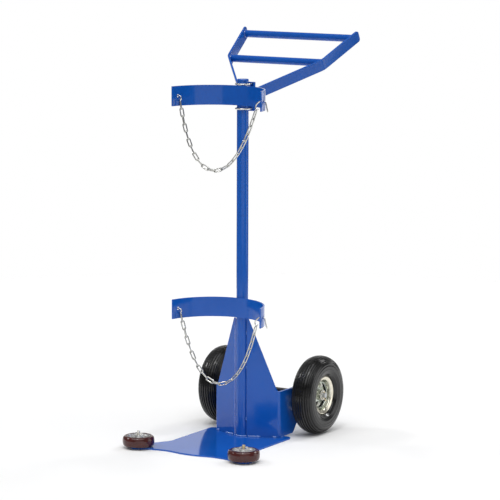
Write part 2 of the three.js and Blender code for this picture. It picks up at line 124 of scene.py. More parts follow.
class Nodes:
    """A material's node tree with short ways to add to it."""

    def __init__(self, name):
        self.mat = bpy.data.materials.new(name)
        self.mat.use_nodes = True
        self.tree = self.mat.node_tree
        self.shader = self.tree.nodes["Principled BSDF"]
        self.place = self.add("ShaderNodeTexCoord").outputs["Object"]

    def add(self, kind, **values):
        node = self.tree.nodes.new(kind)
        for key, value in values.items():
            setattr(node, key, value)
        return node

    def link(self, a, b):
        self.tree.links.new(a, b)

    def set(self, **values):
        for key, value in values.items():
            self.shader.inputs[key.replace("_", " ")].default_value = value

    def noise(self, scale, detail=3.0):
        node = self.add("ShaderNodeTexNoise")
        for key, value in (("Scale", scale), ("Detail", detail), ("Roughness", NOISE_ROUGHNESS)):
            node.inputs[key].default_value = value
        self.link(self.place, node.inputs["Vector"])
        return node.outputs["Fac"]

    def mottle(self, scale, detail, first, second, spread=0.2):
        """A colour that drifts between two; the smaller the spread, the sharper the patches."""
        node = self.add("ShaderNodeValToRGB")
        stops = ((0.5 - spread, first), (0.5 + spread, second))
        for element, (place, colour) in zip(node.color_ramp.elements, stops):
            element.position = place
            element.color = (*colour, 1.0)
        self.link(self.noise(scale, detail), node.inputs["Fac"])
        return node.outputs["Color"]

    def blend(self, amount, first, second):
        """Mix two colours; amount runs from 0, all first, to 1, all second."""
        node = self.add("ShaderNodeMix", data_type="RGBA")
        self.link(amount, node.inputs["Factor"])
        self.link(first, node.inputs[MIX_A])
        self.link(second, node.inputs[MIX_B])
        return node.outputs[MIX_RESULT]

    def span(self, source, low, high, start=0.3, end=0.7):
        """Map the source from start..end to low..high, and no further."""
        node = self.add("ShaderNodeMapRange")
        for key, value in (("From Min", start), ("From Max", end), ("To Min", low), ("To Max", high)):
            node.inputs[key].default_value = value
        self.link(source, node.inputs["Value"])
        return node.outputs["Result"]

    def bump(self, source, distance, strength, after=None):
        node = self.add("ShaderNodeBump")
        node.inputs["Distance"].default_value = distance
        node.inputs["Strength"].default_value = strength
        self.link(source, node.inputs["Height"])
        if after is not None:
            self.link(after, node.inputs["Normal"])
        return node.outputs["Normal"]

    def finish(self, colour, roughness, normal):
        for key, value in (("Base Color", colour), ("Roughness", roughness), ("Normal", normal)):
            self.link(value, self.shader.inputs[key])
        return self.mat


def blue_coat():
    n = Nodes("blue_powder_coat")
    n.set(IOR=1.45)
    colour = n.mottle(6.0, 4.0, (0.006, 0.094, 0.455), (0.007, 0.109, 0.505))
    rough = n.span(n.noise(14.0, 4.0), 0.07, 0.13)
    peel = n.bump(n.noise(330.0, 2.0), 0.00004, 0.5)
    return n.finish(colour, rough, n.bump(n.noise(45.0, 2.0), 0.00012, 0.35, peel))


def coated_weld():
    """The same coat over a lumpy bead, where it runs thicker and shinier, with paler patches that are a
    painted highlight.
    """
    n = Nodes("blue_coat_on_weld")
    n.set(IOR=2.3)
    # painted highlight: the paler blue in this mottle stands in for glints of light on the bead
    colour = n.mottle(90.0, 3.0, (0.010, 0.105, 0.47), (0.035, 0.16, 0.56))
    lumps = n.bump(n.noise(420.0, 3.0), 0.0006, 0.8)
    return n.finish(colour, n.span(n.noise(200.0, 2.0), 0.05, 0.16), lumps)


def zinc(name, light, dark, low, high):
    """Bare or plated metal that drifts between two tones; its roughness lies between low and high."""
    n = Nodes(name)
    n.set(Metallic=1.0)
    colour = n.mottle(90.0, 4.0, dark, light, 0.18)
    grain = n.bump(n.noise(700.0, 2.0), 0.00003, 0.5)
    return n.finish(colour, n.span(n.noise(160.0, 3.0), low, high), grain)


DISC_RADIUS, LIP_RADIUS = 0.044, 0.053                         # the rim's colour changes between these


def rim_zinc():
    """Greenish zinc discs, darker than the creamier rolled lip: painted shade in the dished centre and a
    painted highlight on the lip.
    """
    n = Nodes("rim_zinc")
    n.set(Metallic=1.0)
    spoke = n.add("ShaderNodeVectorMath", operation="MULTIPLY_ADD")
    spoke.inputs[1].default_value = (0.0, 1.0, 1.0)
    spoke.inputs[2].default_value = (0.0, -AXLE_Y, -AXLE_Z)
    n.link(n.place, spoke.inputs[0])
    radius = n.add("ShaderNodeVectorMath", operation="LENGTH")
    n.link(spoke.outputs["Vector"], radius.inputs[0])
    disc = n.mottle(90.0, 4.0, (0.40, 0.44, 0.39), (0.60, 0.64, 0.58), 0.18)
    lip = n.mottle(90.0, 4.0, (0.74, 0.70, 0.58), (0.88, 0.84, 0.71), 0.18)
    # painted shade and highlight: the colour runs from the dark shaded disc to the bright lip between
    # DISC_RADIUS and LIP_RADIUS
    colour = n.blend(n.span(radius.outputs["Value"], 0.0, 1.0, DISC_RADIUS, LIP_RADIUS), disc, lip)
    grain = n.bump(n.noise(700.0, 2.0), 0.00003, 0.5)
    return n.finish(colour, n.span(n.noise(160.0, 3.0), 0.14, 0.26), grain)


def tyre_rubber():
    n = Nodes("tyre_rubber")
    n.set(IOR=1.52)
    colour = n.mottle(30.0, 5.0, (0.0014, 0.0014, 0.0017), (0.0032, 0.0032, 0.0037))
    rough = n.span(n.noise(60.0, 4.0), 0.15, 0.26)
    fine = n.bump(n.noise(900.0, 2.0), 0.00006, 0.6)
    return n.finish(colour, rough, n.bump(n.noise(120.0, 3.0), 0.0002, 0.25, fine))


def maroon_tread():
    n = Nodes("maroon_polyurethane")
    n.set(IOR=1.5)
    colour = n.mottle(40.0, 5.0, (0.046, 0.0075, 0.007), (0.068, 0.0115, 0.010))
    rough = n.span(n.noise(80.0, 4.0), 0.05, 0.11)
    return n.finish(colour, rough, n.bump(n.noise(260.0, 3.0), 0.0001, 0.4))


STUB_X = 0.199                                                 # where the axle comes out of the hubs


def black_steel():
    """Steel bar in two tones: a dark painted shade between the wheels and a bright grey painted light on
    the stubs that stick out of the wheels.
    """
    n = Nodes("black_steel")
    n.set(Metallic=0.8)
    across = n.add("ShaderNodeSeparateXYZ")
    n.link(n.place, across.inputs["Vector"])
    outwards = n.add("ShaderNodeMath", operation="ABSOLUTE")
    n.link(across.outputs["X"], outwards.inputs[0])
    # painted light and shade: one steel, dark where it lies in shade between the wheels, bright grey on the
    # stubs beyond the hubs
    stub_light_mask = n.span(outwards.outputs["Value"], 0.0, 1.0, STUB_X, STUB_X + 0.001)
    shaded_dark_steel = n.mottle(50.0, 4.0, (0.05, 0.05, 0.052), (0.09, 0.088, 0.085))
    lit_grey_steel = n.mottle(80.0, 4.0, (0.42, 0.43, 0.45), (0.58, 0.59, 0.60))
    grain = n.bump(n.noise(500.0), 0.00004, 0.4)
    return n.finish(n.blend(stub_light_mask, shaded_dark_steel, lit_grey_steel), n.span(n.noise(120.0), 0.26, 0.42), grain)


def cut_edge():
    """The cut ends of the folded plates, where the coat is thinner, in a pale colour that is partly a
    painted reflection.
    """
    n = Nodes("thin_coat_and_painted_reflection_cut_edge")
    # painted reflection: the pale lilac is brighter than a thin coat alone, standing in for the glint on
    # the edge beside the mast
    colour = n.mottle(60.0, 4.0, (0.34, 0.47, 0.88), (0.44, 0.57, 0.95))
    return n.finish(colour, n.span(n.noise(90.0, 3.0), 0.2, 0.32), n.bump(n.noise(300.0), 0.00004, 0.4))


def floor_paint():
    """A pale floor that turns clear towards its rim."""
    n = Nodes("pale_floor")
    colour = n.mottle(1.2, 3.0, (0.93, 0.93, 0.93), (0.95, 0.95, 0.95))
    n.finish(colour, n.span(n.noise(5.0), 0.75, 0.9), n.bump(n.noise(90.0), 0.0002, 0.05))
    reach = n.add("ShaderNodeVectorMath", operation="LENGTH")
    n.link(n.place, reach.inputs[0])
    fade = n.add("ShaderNodeMixShader")
    n.link(n.span(reach.outputs["Value"], 0.0, 1.0, FLOOR_SOLID, FLOOR_RADIUS), fade.inputs["Fac"])
    n.link(n.shader.outputs["BSDF"], fade.inputs[1])
    n.link(n.add("ShaderNodeBsdfTransparent").outputs["BSDF"], fade.inputs[2])
    n.link(fade.outputs["Shader"], n.tree.nodes["Material Output"].inputs["Surface"])
    return n.mat


BLUE = blue_coat()
WELD = coated_weld()
ZINC = zinc("bright_zinc", (0.86, 0.85, 0.80), (0.68, 0.67, 0.62), 0.16, 0.3)
CHAIN_ZINC = zinc("chain_zinc", (0.72, 0.72, 0.68), (0.46, 0.46, 0.44), 0.14, 0.26)
YELLOW_ZINC = zinc("yellow_zinc", (0.72, 0.60, 0.36), (0.55, 0.44, 0.25), 0.2, 0.36)
RIM = rim_zinc()
CAST = zinc("die_cast_hub", (0.66, 0.66, 0.66), (0.46, 0.46, 0.46), 0.32, 0.5)
RUBBER = tyre_rubber()
MAROON = maroon_tread()
BLACK = black_steel()
EDGE = cut_edge()


# ---- mesh helpers ------------------------------------------------------------------------------------

def piece(name, verts, faces, mat, body, smooth=True):
    """A new mesh object made of our own vertices and faces, in metres, riding on a body."""
    mesh = bpy.data.meshes.new(name)
    mesh.from_pydata([tuple(v) for v in verts], [], faces)
    mesh.validate()
    obj = bpy.data.objects.new(name, mesh)
    scene.collection.objects.link(obj)
    mesh.materials.append(mat)
    for polygon in mesh.polygons:
        polygon.use_smooth = smooth
    tidy_normals(mesh)
    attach(obj, body)
    return obj


def tidy_normals(mesh):
    """Make every face point outwards."""
    bm = bmesh.new()
    bm.from_mesh(mesh)
    bmesh.ops.recalc_face_normals(bm, faces=bm.faces)
    bm.to_mesh(mesh)
    bm.free()


def soften(obj, width, angle=32.0):
    """Round the sharp edges a little and keep the flats flat."""
    bevel = obj.modifiers.new("edges", "BEVEL")
    bevel.width, bevel.segments = width, 2
    bevel.limit_method, bevel.angle_limit = "ANGLE", math.radians(angle)
    bevel.use_clamp_overlap = True
    obj.modifiers.new("normals", "WEIGHTED_NORMAL").keep_sharp = False


def turned(profile, segments, centre, axis="X", twist=None):
    """Vertices and faces of a closed profile [(radius, along)] in mm turned about an axis through centre.

    twist(j, i, radius, along), if given, moves point j of the profile at step i of the turn.
    """
    verts, faces = [], []
    count = len(profile)
    for i in range(segments):
        a = 2 * math.pi * i / segments
        for j, (r, h) in enumerate(profile):
            if twist:
                r, h = twist(j, i, r, h)
            c, s = r * math.cos(a), r * math.sin(a)
            local = (h, c, s) if axis == "X" else (c, s, h)
            verts.append(tuple(o + p * MM for o, p in zip(centre, local)))
    for i in range(segments):
        k = (i + 1) % segments
        for j in range(count):
            m = (j + 1) % count
            faces.append((i * count + j, i * count + m, k * count + m, k * count + j))
    return verts, faces


def smooth_path(points, steps):
    """A smooth Catmull-Rom curve through the points, with this many steps between two of them."""
    pts = [Vector(p) for p in points]
    pts = [2 * pts[0] - pts[1], *pts, 2 * pts[-1] - pts[-2]]
    out = []
    for i in range(1, len(pts) - 2):
        a, b, c, d = pts[i - 1:i + 3]
        for s in range(steps):
            t = s / steps
            out.append(0.5 * ((2 * b) + (c - a) * t + (2 * a - 5 * b + 4 * c - d) * t * t
                              + (3 * b - a - 3 * c + d) * t ** 3))
    out.append(pts[-2])
    return out


def tube(path, radius, sides, closed=False):
    """Vertices and faces of a round tube along path. radius is a number or one number for each point."""
    count = len(path)
    radii = radius if hasattr(radius, "__len__") else [radius] * count
    verts, faces = [], []
    across = None
    for i, p in enumerate(path):
        if closed:
            ahead = path[(i + 1) % count] - path[i - 1]
        else:
            ahead = path[min(i + 1, count - 1)] - path[max(i - 1, 0)]
        ahead.normalize()
        if across is None:
            across = ahead.orthogonal().normalized()
        across = (across - ahead * across.dot(ahead)).normalized()
        up = ahead.cross(across)
        for j in range(sides):
            a = 2 * math.pi * j / sides
            verts.append(p + (across * math.cos(a) + up * math.sin(a)) * radii[i])
    for i in range(count if closed else count - 1):
        k = (i + 1) % count
        for j in range(sides):
            m = (j + 1) % sides
            faces.append((i * sides + j, i * sides + m, k * sides + m, k * sides + j))
    if not closed:
        faces.append(tuple(range(sides)))
        faces.append(tuple((count - 1) * sides + j for j in reversed(range(sides))))
    return verts, faces


def gathered(parts):
    """Several (vertices, faces) as one."""
    verts, faces = [], []
    for v, f in parts:
        faces += [tuple(i + len(verts) for i in face) for face in f]
        verts += v
    return verts, faces


# ---- the CAD nodes that stay, with softened edges and their finishes ---------------------------------

def dress(node, mat, edge):
    """Give a CAD node its finish, and round its edges by edge metres."""
    obj = nodes[node]
    mesh = obj.data
    mesh.materials.clear()
    mesh.materials.append(mat)
    if "custom_normal" in mesh.attributes:
        mesh.attributes.remove(mesh.attributes["custom_normal"])
    for polygon in mesh.polygons:
        polygon.use_smooth = True
    obj.modifiers.new("weld", "WELD").merge_threshold = 1e-6
    flat = obj.modifiers.new("flats", "DECIMATE")
    flat.decimate_type, flat.angle_limit = "DISSOLVE", math.radians(0.6)
    soften(obj, edge)


for name, edge in (("base_plate", 0.0009), ("mast_tube", 0.0006), ("mast_cap", 0.0009),
                   ("side_plate_left", 0.0009), ("side_plate_right", 0.0009), ("lower_band", 0.0008),
                   ("upper_band", 0.0008), ("handle_bracket", 0.0009), ("handle_bar_left", 0.0009),
                   ("handle_bar_right", 0.0009), ("lower_crossbar", 0.0004), ("grip_crossbar", 0.0004)):
    dress(name, BLUE, edge)
dress("axle", BLACK, 0.0008)


SWEEP = math.radians(24.2)                                     # how far the folded plates sweep back
WING_ALONG = Vector((math.cos(SWEEP), math.sin(SWEEP), 0))     # outwards along the right plate
WING_OUT = Vector((math.sin(SWEEP), -math.cos(SWEEP), 0))      # square to it, forwards


def paint_cut_ends():
    """The front cut end of each folded plate, beside the mast, shows a thinner coat in a pale colour that
    is partly a painted reflection.
    """
    for side, k in SIDES:
        mesh = nodes[f"side_plate_{side}"].data
        mesh.materials.append(EDGE)
        end = Vector((-k * WING_ALONG.x, -WING_ALONG.y, 0))
        for polygon in mesh.polygons:
            if polygon.normal.dot(end) > 0.999:
                polygon.material_index = 1


paint_cut_ends()
for level in ("upper", "lower"):
    dress(f"{level}_u_bolt", ZINC, 0.0005)
    for side, _ in SIDES:
        dress(f"{level}_u_bolt_nut_{side}", ZINC, 0.0005)
for side, _ in SIDES:
    for name in ("hub", "bearing_outer", "bearing_inner", "axle_spacer", "axle_washer"):
        dress(f"{name}_{side}", ZINC, 0.0005)
    dress(f"axle_split_pin_{side}", YELLOW_ZINC, 0.0002)
    dress(f"valve_{side}", RUBBER, 0.0004)
    for name in ("roller_spacer", "roller_washer"):
        dress(f"{name}_{side}", ZINC, 0.0004)
    dress(f"roller_pin_{side}", YELLOW_ZINC if side == "right" else ZINC, 0.0006)
    dress(f"roller_split_pin_{side}", ZINC, 0.0002)


# ---- tyres: ribbed crown with saw-toothed grooves, ringed side walls ---------------------------------

# (across, radius) from the crown to the bead
SECTION = [(0, 127.5), (5, 127.5), (11, 126.6), (16, 125.0), (22, 122.6), (28, 118.9), (32.5, 113.8),
           (35.6, 108), (37.4, 100), (38, 92), (37.6, 84), (35.8, 77), (32.4, 70.4), (28.4, 65.8),
           (24.6, 63.4), (20.8, 62.3)]
# (across, radius) from the bead to the crown
LINING = [(13, 56), (18.5, 63), (25, 70), (30, 78), (32.4, 90), (30, 104), (22, 113), (10, 117.5),
          (0, 118.5)]
BEAD_HEEL = (18.6, 53)                                         # where the tyre grips the rim
# (across, width, depth, segments in a saw tooth)
GROOVES = [(4.6, 3.4, 3.8, 4), (13.0, 3.6, 4.0, 4), (21.0, 3.4, 3.6, 2), (27.2, 2.6, 2.4, 2),
           (32.6, 1.9, 1.6, 2)]
# a groove's wall from lip to lip: (along in widths, down in depths)
GROOVE_SHAPE = [(-0.7, 0.0), (-0.54, 0.1), (-0.44, 0.32), (-0.3, 1.0), (0.3, 1.0), (0.44, 0.32),
                (0.54, 0.1), (0.7, 0.0)]
# rings on the side wall: (radius, height, width)
RINGS = [(103.0, 1.1, 1.3), (95.0, 0.8, 1.1), (84.0, 0.7, 1.2), (71.0, 1.3, 1.5)]
WALL_FROM = 28                                                 # the side wall lies further across than this
CROWN_FROM = 100                                               # the grooves lie at larger radii than this
TOOTH = 0.75                                                   # half height of a saw tooth
TYRE_SEGMENTS = 284


def tyre_profile():
    """Half section as [(across, radius, segments in a saw tooth)], crown first."""
    curve = smooth_path([(x, r, 0) for x, r in SECTION], 6)
    for p in curve:
        if p.x > WALL_FROM:
            p.x += sum(height * math.exp(-((p.y - place) / width) ** 2) for place, height, width in RINGS)
    out = [(p.x, p.y, 0) for p in curve
           if p.y < CROWN_FROM or all(abs(p.x - x) > 0.7 * w + 0.3 for x, w, _, _ in GROOVES)]
    for x, w, d, saw in GROOVES:
        near = min(range(len(curve) - 1),
                   key=lambda q: abs(curve[q].x - x) + (curve[q].y < CROWN_FROM) * 99)
        a, b = curve[near], curve[near + 1]
        slope = Vector((b.x - a.x, b.y - a.y)).normalized()
        normal = Vector((-slope.y, slope.x))
        normal = normal if normal.y > 0 else -normal
        base = Vector((a.x, a.y)) + slope * ((x - a.x) / max(slope.x, 0.2))
        for along, down in GROOVE_SHAPE:
            q = base + slope * along * w - normal * down * d
            out.append((q.x, q.y, saw))
    return sorted(out, key=lambda q: station(curve, q))


def station(curve, q):
    """How far along the section a point lies."""
    i = min(range(len(curve) - 1), key=lambda i: (curve[i].x - q[0]) ** 2 + (curve[i].y - q[1]) ** 2)
    a, b = curve[i], curve[i + 1]
    run = b - a
    return i + ((q[0] - a.x) * run.x + (q[1] - a.y) * run.y) / max(run.length_squared, 1e-9)


def make_tyre(side, k):
    half = tyre_profile()
    lining = [(x, r, 0) for x, r in LINING] + [(-x, r, 0) for x, r in reversed(LINING[:-1])]
    heel, heel_r = BEAD_HEEL
    loop = ([(-x, r, s) for x, r, s in reversed(half[1:])] + half
            + [(heel, heel_r, 0)] + lining + [(-heel, heel_r, 0)])
    teeth = [step for _, _, step in loop]

    def saw(j, i, r, h):
        """Zigzag the groove walls sideways, one tooth in every step segments."""
        step = teeth[j]
        return r, h + (TOOTH * (2 * abs(2 * (i % step) / step - 1) - 1) if step else 0)

    verts, faces = turned([(r, x) for x, r, _ in loop], TYRE_SEGMENTS,
                          (k * WHEEL_X, AXLE_Y, AXLE_Z), "X", saw)
    obj = piece(f"ribbed_tyre_{side}", verts, faces, RUBBER, f"{side}_wheel")
    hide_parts(f"tyre_{side}")


# ---- rims: two pressed halves with a rolled lip, four curved windows and clamping bolts --------------

# (radius, outwards from the wheel's middle) of a half's outer and inner skin
RIM_FRONT = [(17.7, 4.4), (20.5, 4.6), (22.5, 3.9), (24.5, 3.4), (37, 3.4), (40, 3.8), (43.2, 5.2),
             (45.6, 8.0), (46.9, 11.8), (48.6, 17.4), (49.9, 20.4), (52.4, 21.9), (58.2, 23.1),
             (60.0, 24.3), (61.3, 24.1), (61.9, 22.9)]
RIM_BACK = [(61.0, 22.2), (59.3, 22.3), (53.4, 20.7), (51.5, 18.8), (49.9, 12.0), (48.2, 6.4), (45.4, 3.3),
            (41.5, 1.5), (37, 1.2), (17.7, 1.2)]
WINDOW_FIRST, WINDOW_HALF = 28, 28                             # degrees, as in the CAD rim
WINDOW_IN, WINDOW_OUT = 35.4, 44.6                             # radii in mm
CUT_FROM, CUT_TO = -4, 12                                      # how far out the windows' cutters reach
BOLT_CIRCLE, BOLT_HEAD, BOLT_ROD = 31, 6.4, 3.1                # radii in mm
ROD_OUT, ROD_IN = 11.2, 8.6                                    # reach of the rods, outer and inner face


def window_cutter(centre, sign, middle):
    """A curved block that cuts one window, middle degrees round the rim."""
    turns = [math.radians(middle + WINDOW_HALF * (t / 6 - 1)) for t in range(13)]
    ring = [(WINDOW_OUT, a) for a in turns] + [(WINDOW_IN, a) for a in reversed(turns)]
    verts = [Vector((centre[0] + sign * x * MM, centre[1] + r * MM * math.cos(a),
                     centre[2] + r * MM * math.sin(a))) for x in (CUT_FROM, CUT_TO) for r, a in ring]
    count = len(ring)
    sides = [(i, (i + 1) % count, count + (i + 1) % count, count + i) for i in range(count)]
    return verts, sides + [tuple(range(count)), tuple(reversed(range(count, 2 * count)))]


def make_rim(side, k, part, facing):
    centre = (k * WHEEL_X, AXLE_Y, AXLE_Z)
    sign = k * facing
    verts, faces = turned([(r, sign * x) for r, x in RIM_FRONT + RIM_BACK], 96, centre)
    obj = piece(f"pressed_rim_{part}_{side}", verts, faces, RIM, f"{side}_wheel")
    cutters = [window_cutter(centre, sign, WINDOW_FIRST + 90 * q) for q in range(4)]
    cut_verts, cut_faces = gathered(cutters)
    mesh = bpy.data.meshes.new("cutter")
    mesh.from_pydata([tuple(v) for v in cut_verts], [], cut_faces)
    tidy_normals(mesh)
    cutter = bpy.data.objects.new("cutter", mesh)
    scene.collection.objects.link(cutter)
    boolean = obj.modifiers.new("windows", "BOOLEAN")
    boolean.operation, boolean.object, boolean.solver = "DIFFERENCE", cutter, "EXACT"
    applied(obj)
    bpy.data.objects.remove(cutter)
    for polygon in obj.data.polygons:
        polygon.use_smooth = True
    soften(obj, 0.0004, 40.0)
    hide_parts(f"rim_{part}_{side}")


def applied(obj):
    """Make the object's modifiers part of its mesh."""
    graph = bpy.context.evaluated_depsgraph_get()
    mesh = bpy.data.meshes.new_from_object(obj.evaluated_get(graph))
    obj.modifiers.clear()
    obj.data = mesh


def hexagon(centre, axis_sign, radius, x0, x1):
    """A hexagon prism along X, from x0 to x1 mm out, with a chamfered outer face."""
    verts, faces = [], []
    rings = ((x0, radius), (x1 - 0.8, radius), (x1, radius * 0.86))
    for x, r in rings:
        for i in range(6):
            a = math.radians(60 * i)
            verts.append(Vector((centre[0] + axis_sign * x * MM, centre[1] + r * MM * math.cos(a),
                                 centre[2] + r * MM * math.sin(a))))
    for j in range(2):
        for i in range(6):
            faces.append((j * 6 + i, j * 6 + (i + 1) % 6, j * 6 + 6 + (i + 1) % 6, j * 6 + 6 + i))
    faces.append(tuple(range(6)))
    faces.append(tuple(reversed(range(12, 18))))
    return verts, faces


def make_rim_bolts(side, k):
    """Four bolts, with the nut and the longer end of the rod on the wheel's outer face."""
    parts = []
    for q in range(4):
        a = math.radians(WINDOW_FIRST + 45 + 90 * q)
        centre = (k * WHEEL_X, AXLE_Y + BOLT_CIRCLE * MM * math.cos(a),
                  AXLE_Z + BOLT_CIRCLE * MM * math.sin(a))
        for sign in (1, -1):
            parts.append(hexagon(centre, sign, BOLT_HEAD, 3.3, 8.2))
            end = ROD_OUT if sign == k else ROD_IN
            rod = [Vector((centre[0] + sign * x * MM, centre[1], centre[2])) for x in (7.6, end - 0.5, end)]
            parts.append(tube(rod, [BOLT_ROD * MM, BOLT_ROD * MM, (BOLT_ROD - 0.5) * MM], 16))
    piece(f"rim_bolts_{side}", *gathered(parts), ZINC, f"{side}_wheel", smooth=False)


for side, k in SIDES:
    make_tyre(side, k)
    make_rim(side, k, "outer", 1)
    make_rim(side, k, "inner", -1)
    make_rim_bolts(side, k)


# ---- corner rollers: glossy barrel tread on a dished, ribbed hub -------------------------------------

ROLLER_X, ROLLER_Y = 0.1957, -0.3129
# (radius, height) round each section
TREAD = [(38.5, 9.6), (41.5, 8.9), (44.0, 8.6), (46.4, 9.4), (48.3, 11.2), (49.6, 14.0), (50.4, 17.5),
         (50.8, 21.5), (50.8, 26.5), (50.5, 30.0), (49.8, 33.2), (48.4, 36.4), (46.2, 38.8), (43.4, 40.1),
         (41.0, 40.5), (39.6, 40.3), (38.6, 39.5), (38.5, 38.6)]
HUB = [(4.85, 8.6), (12.6, 8.6), (13.6, 9.4), (14.2, 17.0), (29.6, 17.4), (33.6, 10.6), (35.2, 10.1),
       (38.0, 10.1), (38.4, 10.6), (38.4, 38.4), (38.0, 39.2), (36.8, 39.8), (35.2, 40.0), (34.0, 39.4),
       (32.6, 36.4), (30.6, 33.9), (27.0, 32.9), (20.0, 32.6), (16.6, 33.0), (14.8, 34.6), (13.4, 38.6),
       (12.6, 41.2), (11.6, 41.9), (4.85, 41.9)]
RIBS, RIB_START = 5, 20                                        # number, and degrees to the first
RIB_LINE = [(13.0, 36.5), (22.0, 34.8), (33.2, 36.0)]          # (radius, height) along the dished top
RIB_SECTION = [(-1.5, 0.0), (-1.0, 0.9), (1.0, 0.9), (1.5, 0.0), (1.7, -3.6), (-1.7, -3.6)]


def hub_rib(centre, turn):
    """A low radial rib on the hub's dished top."""
    out = Vector((math.cos(turn), math.sin(turn), 0))
    across = Vector((-math.sin(turn), math.cos(turn), 0))
    verts = [Vector(centre) + (out * r + across * w + Vector((0, 0, z + dz))) * MM
             for r, z in RIB_LINE for w, dz in RIB_SECTION]
    faces = [(j * 6 + i, j * 6 + (i + 1) % 6, j * 6 + 6 + (i + 1) % 6, j * 6 + 6 + i)
             for j in range(2) for i in range(6)]
    return verts, faces + [tuple(range(6)), tuple(reversed(range(12, 18)))]


def make_roller(side, k):
    centre = (k * ROLLER_X, ROLLER_Y, 0.0)
    curve = [(p.x, p.y) for p in smooth_path([(r, z, 0) for r, z in TREAD + TREAD[:1]], 3)[:-1]]
    tread = piece(f"roller_tyre_{side}", *turned(curve, 96, centre, "Z"), MAROON, f"{side}_roller")
    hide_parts(f"roller_tread_{side}")
    parts = [turned(HUB, 96, centre, "Z")]
    parts += [hub_rib(centre, math.radians(360 / RIBS * q + RIB_START)) for q in range(RIBS)]
    hub = piece(f"dished_hub_{side}", *gathered(parts), CAST, f"{side}_roller")
    soften(hub, 0.0003, 35.0)
    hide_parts(f"roller_hub_{side}")


for side, k in SIDES:
    make_roller(side, k)


# ---- chains: 21 welded links each, hanging between two hooks -----------------------------------------

HINGE_Y = -0.137688                                            # the chain holes' line
BAND_Z = {"upper": 1112.8, "lower": 428.4}
LEAN = {"upper": -18.0, "lower": 1.0}                          # sideways shift of the chain's lowest point
CAT, CHAIN_X0, DROP = 67.6, -5.0, 231.0                        # catenary constant, lowest point, its depth
LINKS = 21
HOOK_DOWN = (16.0, 33.5)                                       # depth of the chain's left and right end
WIRE, LINK_BEND = 2.05, 4.9                                    # radii of a link's wire and of its two bends
TURN, TWIST, WOBBLE = 45, 30.0, 7                              # degrees that the links turn about the chain
WELD_POINT = 16                                                # where on a link's loop its weld bump sits
HOOK_WIRE = 2.1
# (across, height above the band's middle) along each hook's wire
HOOKS = {
    "right": [(174.5, -35), (171, -22), (167.6, -9), (163.5, -1.4), (157, 0), (150, -0.4), (141, -5),
              (133.5, -12), (130, -20), (132, -26.5), (137.5, -28.4), (142, -25)],
    "left": [(169.5, -15), (167.6, -8), (163.5, -1.2), (157, 0), (151, 0), (146.5, -3), (145.2, -8),
             (147.5, -11.6), (150.4, -10.4)],
}


def chain_point(u, level):
    """A point of the hanging curve, u mm to the side of its lowest point."""
    rise = CAT * (math.cosh(u / CAT) - 1)
    x = CHAIN_X0 + u + LEAN[level] * (1 - rise / DROP)
    return Vector((x * MM, HINGE_Y, (BAND_Z[level] - DROP + rise) * MM))


def link_loop(pitch):
    """Centre line of one link: two half circles and two straights."""
    radius = LINK_BEND * MM
    straight = pitch / 2 + WIRE * MM - radius
    loop = []
    for sign in (1, -1):
        for i in range(11):
            a = math.pi * (i / 10 - 0.5)
            loop.append(Vector((sign * (straight + radius * math.cos(a)), sign * radius * math.sin(a), 0)))
    return loop


def make_chain(level):
    reach = [CAT * math.acosh(1 + (DROP - down) / CAT) for down in HOOK_DOWN]
    s0, s1 = -CAT * math.sinh(reach[0] / CAT), CAT * math.sinh(reach[1] / CAT)
    parts = []
    for i in range(LINKS):
        lengths = [s0 + (s1 - s0) * (i + f) / LINKS for f in (0, 1)]
        ends = [chain_point(CAT * math.asinh(s / CAT), level) for s in lengths]
        along = ends[1] - ends[0]
        pitch = along.length
        along.normalize()
        across = Vector((0, 1, 0))
        up = along.cross(across).normalized()
        turn = math.radians((TURN if i % 2 else -TURN) + TWIST * i / LINKS + WOBBLE * math.sin(2.3 * i))
        wide = across * math.cos(turn) + up * math.sin(turn)
        middle = (ends[0] + ends[1]) / 2
        loop = [middle + along * p.x + wide * p.y for p in link_loop(pitch)]
        swell = [WIRE * MM * (1.0 + 0.09 * math.exp(-((j - WELD_POINT) / 1.2) ** 2))
                 for j in range(len(loop))]
        parts.append(tube(loop, swell, 10, closed=True))
    obj = piece(f"{level}_chain_links", *gathered(parts), CHAIN_ZINC, f"{level}_chain")
    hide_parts(f"{level}_chain")


def make_hook(level, side, k):
    points = [Vector((k * x * MM, HINGE_Y, (BAND_Z[level] + h) * MM)) for x, h in HOOKS[side]]
    path = smooth_path(points, 6)
    count = len(path)
    radii = [HOOK_WIRE * MM * (0.72 + 0.28 * min(1.0, j / 2, (count - 1 - j) / 2)) for j in range(count)]
    obj = piece(f"{level}_wire_hook_{side}", *tube(path, radii, 14), ZINC, f"{level}_chain")
    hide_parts(f"{level}_hook_{side}")


for level in BAND_Z:
    make_chain(level)
    for side, k in SIDES:
        make_hook(level, side, k)


# ---- weld beads --------------------------------------------------------------------------------------

BEAD_STEP, RIPPLE = 0.0011, 0.0062                             # metres: sampling, and one pass of the torch
FIRST_SEED = 11


def bead(path, radius, seed):
    """A weld bead: a tube along path whose size rises and falls with each pass of the torch."""
    rng = random.Random(seed)
    length = sum((b - a).length for a, b in zip(path, path[1:]))
    count = max(6, int(length / BEAD_STEP))
    points, radii = [], []
    done, i, left = 0.0, 0, length / count
    for n in range(count + 1):
        want = n * left
        while i < len(path) - 2 and done + (path[i + 1] - path[i]).length < want:
            done += (path[i + 1] - path[i]).length
            i += 1
        span = (path[i + 1] - path[i]).length or 1e-9
        points.append(path[i].lerp(path[i + 1], min(1.0, (want - done) / span)))
        ripple = 0.66 + 0.34 * abs(math.sin(math.pi * want / RIPPLE))
        taper = min(1.0, 0.45 + n / 3, 0.45 + (count - n) / 3)
        radii.append(radius * ripple * taper * rng.uniform(0.86, 1.14))
    return tube(points, radii, 10)


